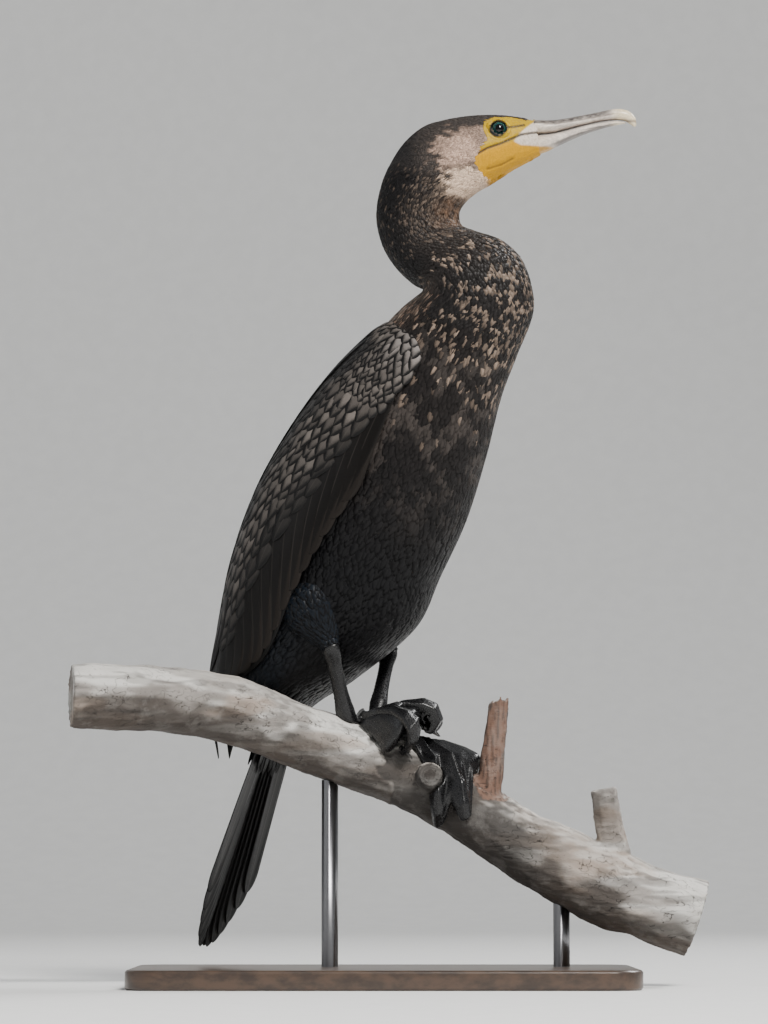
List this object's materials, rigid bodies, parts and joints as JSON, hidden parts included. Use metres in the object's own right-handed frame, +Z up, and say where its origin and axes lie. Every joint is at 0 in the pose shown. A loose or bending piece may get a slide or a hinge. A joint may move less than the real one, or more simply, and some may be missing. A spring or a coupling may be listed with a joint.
{
  "type": "great cormorant",
  "caption": "Life-size still model of a great cormorant perched upright on a cut length of bare branch, held over a plain flat base by short rods.",
  "frame": {"origin": "middle of the underside of the stand's base", "axes": "+Z up, +X the way the bird's body faces, +Y to the bird's left; the branch and the base run 30 degrees to the left of +X"},
  "size_m": [0.4048, 0.3442, 0.6284],
  "materials": {
    "body_plumage": "glossy black feathers",
    "neck_plumage": "dark brown feathers flecked with cream",
    "head_plumage": "fine soft feathers, pale buff on the cheek and yellow bare skin at the bill",
    "wing_plumage": "grey bronze feathers with black edges",
    "tail_plumage": "stiff black feathers with a grey shine",
    "bill_horn": "pale grey horn",
    "eye": "turquoise green iris under a clear wet surface",
    "foot_skin": "satin black scaled skin",
    "claw_horn": "dark horn with a paler tip",
    "bare_branch": "weathered bare wood, pale grey",
    "base_wood": "dark stained, satin",
    "rod_steel": "satin"
  },
  "bodies": {
    "root": {"torso": "body_plumage", "neck_lower": "neck_plumage", "neck_upper": "neck_plumage", "head": "head_plumage", "bill_upper": "bill_horn", "bill_lower": "bill_horn", "eye_left": "eye", "eye_right": "eye", "wing_left": "wing_plumage", "wing_right": "wing_plumage", "tail": "tail_plumage", "thigh_left": "body_plumage", "tarsus_left": "foot_skin", "foot_left": "foot_skin", "claw_left_1": "claw_horn", "claw_left_2": "claw_horn", "claw_left_3": "claw_horn", "claw_left_4": "claw_horn", "thigh_right": "body_plumage", "tarsus_right": "foot_skin", "foot_right": "foot_skin", "claw_right_1": "claw_horn", "claw_right_2": "claw_horn", "claw_right_3": "claw_horn", "claw_right_4": "claw_horn", "perch_branch": "bare_branch", "stand_base": "base_wood", "stand_rod_1": "rod_steel", "stand_rod_2": "rod_steel"}
  },
  "joints": []
}
